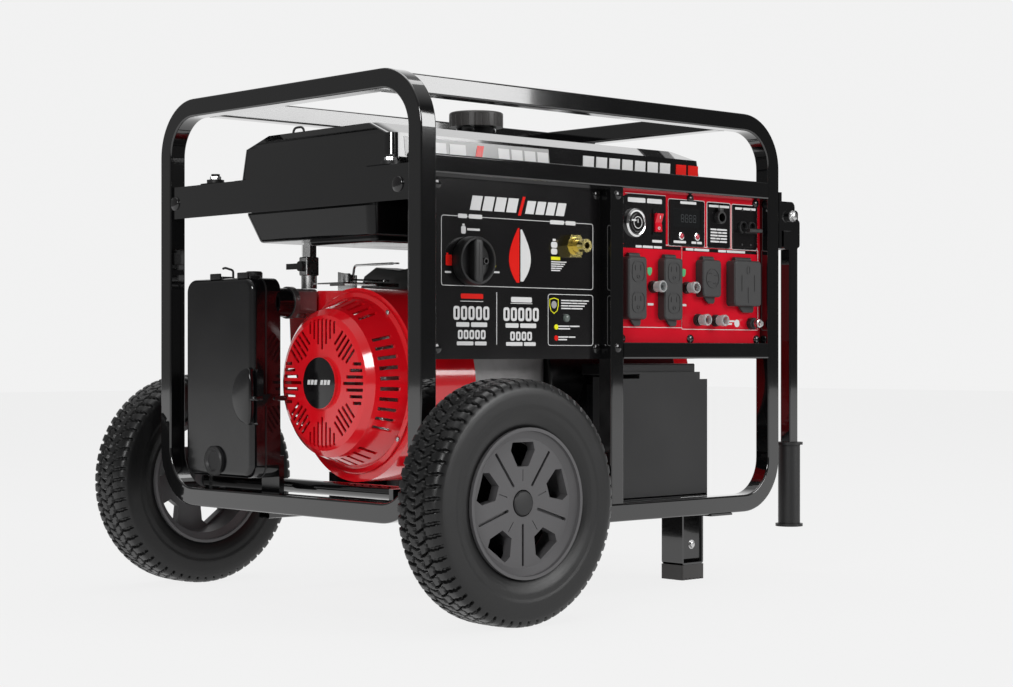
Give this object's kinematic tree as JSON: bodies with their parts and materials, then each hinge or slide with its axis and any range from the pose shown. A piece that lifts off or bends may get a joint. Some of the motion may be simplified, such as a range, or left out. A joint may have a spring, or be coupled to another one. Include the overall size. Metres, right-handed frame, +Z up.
{
  "type": "portable generator",
  "caption": "Portable engine generator in an open tube frame with two wheels, two feet, fold-down handles, tank, control panels and covered outlets.",
  "frame": {"origin": "middle of the whole object's footprint, on the ground", "axes": "+Z up, the control panels face -Y, the end with the air filter is at -X and the lifting handles are at +X"},
  "size_m": [0.89, 0.75, 0.685],
  "materials": {
    "black_paint": "gloss",
    "red_paint": "gloss",
    "grey_paint": "satin",
    "black_plastic": "satin",
    "red_plastic": "gloss",
    "rubber": "matte",
    "tyre": "matte",
    "rim": "satin",
    "aluminium": "cast",
    "steel": "satin",
    "brass": "polished",
    "clear": "clear",
    "paper": "matte"
  },
  "bodies": {
    "frame": {"alternator_housing": "black_paint", "axle": "steel", "battery": "black_plastic", "battery_shield": "grey_paint", "blower_housing": "red_paint", "brass_fittings": "brass", "carburettor": "aluminium", "control_plate": "steel", "crankcase": "aluminium", "cross_members": "black_paint", "cylinder": "aluminium", "end_cover": "red_plastic", "end_hoop": "black_paint", "filter_base": "black_plastic", "filter_element": "paper", "foot_pads": "rubber", "fuel_panel": "black_paint", "fuel_tap": "steel", "handle_brackets": "black_paint", "muffler": "black_paint", "outlet_panel": "red_paint", "panel_frame": "black_paint", "panel_modules": "black_plastic", "rear_frame": "black_paint", "recoil_cover": "red_plastic", "rubber_mounts": "rubber", "side_rail_front": "black_paint", "side_rail_rear": "black_paint", "stator": "steel", "tank_bars": "black_paint", "tank_lower": "black_paint", "tank_upper": "black_paint", "under_brackets": "black_paint"},
    "wheel_front": {"tyre_front": "tyre", "rim_front": "rim"},
    "wheel_rear": {"tyre_rear": "tyre", "rim_rear": "rim"},
    "handle_front": {"handle_front": "black_paint", "grip_front": "rubber"},
    "handle_rear": {"handle_rear": "black_paint", "grip_rear": "rubber"},
    "filler_cap": {"filler_cap": "black_plastic"},
    "fuel_knob": {"fuel_knob": "black_plastic"},
    "start_button": {"start_button": "black_plastic"},
    "battery_rocker": {"battery_rocker": "red_plastic"},
    "breaker_toggle": {"breaker_toggle": "black_plastic"},
    "fuel_tap_lever": {"fuel_tap_lever": "black_plastic"},
    "throttle_arm": {"throttle_arm": "steel"},
    "filter_cover": {"filter_cover": "black_plastic"},
    "filter_clip": {"filter_clip": "black_plastic"},
    "engine_shaft": {"rotor_shaft": "steel", "flywheel": "steel"},
    "cover_duplex_left": {"cover_duplex_left": "rubber"},
    "cover_duplex_right": {"cover_duplex_right": "rubber"},
    "cover_twist_lock": {"cover_twist_lock": "rubber"},
    "cover_range_outlet": {"cover_range_outlet": "rubber"},
    "reset_button_1": {"reset_button_1": "clear"},
    "reset_button_2": {"reset_button_2": "clear"},
    "reset_button_3": {"reset_button_3": "clear"},
    "reset_button_4": {"reset_button_4": "clear"}
  },
  "joints": [
    {"name": "wheel_front_spin", "type": "hinge", "parent": "frame", "child": "wheel_front", "pos_m": [-0.294, -0.336, 0.151], "axis": [0, 1, 0], "continuous": true},
    {"name": "handle_front_fold", "type": "hinge", "parent": "frame", "child": "handle_front", "pos_m": [0.4105, -0.1875, 0.5386], "axis": [0, -1, 0], "range_deg": [0, 90]},
    {"name": "wheel_rear_spin", "type": "hinge", "parent": "frame", "child": "wheel_rear", "pos_m": [-0.294, 0.336, 0.151], "axis": [0, 1, 0], "continuous": true},
    {"name": "handle_rear_fold", "type": "hinge", "parent": "frame", "child": "handle_rear", "pos_m": [0.4105, 0.1875, 0.5386], "axis": [0, -1, 0], "range_deg": [0, 90]},
    {"name": "filler_cap_turn", "type": "hinge", "parent": "frame", "child": "filler_cap", "pos_m": [-0.0438, 0, 0.66], "axis": [0, 0, 1], "range_deg": [0, 90]},
    {"name": "fuel_knob_turn", "type": "hinge", "parent": "frame", "child": "fuel_knob", "pos_m": [-0.215, -0.1782, 0.4528], "axis": [0, -1, 0], "range_deg": [-90, 90]},
    {"name": "start_button_press", "type": "slide", "parent": "frame", "child": "start_button", "axis": [0, 1, 0], "range_m": [0, 0.0015], "stiffness_N_per_m": 800},
    {"name": "battery_rocker_tip", "type": "hinge", "parent": "frame", "child": "battery_rocker", "pos_m": [0.1355, -0.1861, 0.518], "axis": [1, 0, 0], "range_deg": [0, 8]},
    {"name": "breaker_toggle_throw", "type": "hinge", "parent": "frame", "child": "breaker_toggle", "pos_m": [0.331, -0.1901, 0.514], "axis": [1, 0, 0], "range_deg": [0, 30]},
    {"name": "fuel_tap_turn", "type": "hinge", "parent": "frame", "child": "fuel_tap_lever", "pos_m": [-0.2794, 0.1, 0.453], "axis": [1, 0, 0], "range_deg": [-90, 0]},
    {"name": "throttle_arm_turn", "type": "hinge", "parent": "frame", "child": "throttle_arm", "pos_m": [-0.218, 0.074, 0.432], "axis": [0, 0, 1], "range_deg": [0, 25], "stiffness_Nm_per_rad": 0.3},
    {"name": "filter_cover_open", "type": "hinge", "parent": "frame", "child": "filter_cover", "pos_m": [-0.378, 0.148, 0.435], "axis": [0, 1, 0], "range_deg": [0, 60]},
    {"name": "filter_clip_open", "type": "hinge", "parent": "filter_cover", "child": "filter_clip", "pos_m": [-0.371, 0.073, 0.236], "axis": [0, 0, 1], "range_deg": [0, 7]},
    {"name": "engine_spin", "type": "hinge", "parent": "frame", "child": "engine_shaft", "pos_m": [0.012, 0, 0.293], "axis": [1, 0, 0], "continuous": true},
    {"name": "cover_duplex_left_lift", "type": "hinge", "parent": "frame", "child": "cover_duplex_left", "pos_m": [0.083, -0.1871, 0.47], "axis": [1, 0, 0], "range_deg": [-110, 0], "stiffness_Nm_per_rad": 0.03, "springref_deg": 11.46},
    {"name": "cover_duplex_right_lift", "type": "hinge", "parent": "frame", "child": "cover_duplex_right", "pos_m": [0.157, -0.1871, 0.47], "axis": [1, 0, 0], "range_deg": [-110, 0], "stiffness_Nm_per_rad": 0.03, "springref_deg": 11.46},
    {"name": "cover_twist_lock_lift", "type": "hinge", "parent": "frame", "child": "cover_twist_lock", "pos_m": [0.238, -0.1871, 0.47], "axis": [1, 0, 0], "range_deg": [-110, 0], "stiffness_Nm_per_rad": 0.03, "springref_deg": 11.46},
    {"name": "cover_range_outlet_lift", "type": "hinge", "parent": "frame", "child": "cover_range_outlet", "pos_m": [0.315, -0.1871, 0.471], "axis": [1, 0, 0], "range_deg": [-110, 0], "stiffness_Nm_per_rad": 0.03, "springref_deg": 11.46},
    {"name": "reset_button_1_press", "type": "slide", "parent": "frame", "child": "reset_button_1", "axis": [0, 1, 0], "range_m": [0, 0.002], "stiffness_N_per_m": 600},
    {"name": "reset_button_2_press", "type": "slide", "parent": "frame", "child": "reset_button_2", "axis": [0, 1, 0], "range_m": [0, 0.002], "stiffness_N_per_m": 600},
    {"name": "reset_button_3_press", "type": "slide", "parent": "frame", "child": "reset_button_3", "axis": [0, 1, 0], "range_m": [0, 0.002], "stiffness_N_per_m": 600},
    {"name": "reset_button_4_press", "type": "slide", "parent": "frame", "child": "reset_button_4", "axis": [0, 1, 0], "range_m": [0, 0.002], "stiffness_N_per_m": 600}
  ]
}
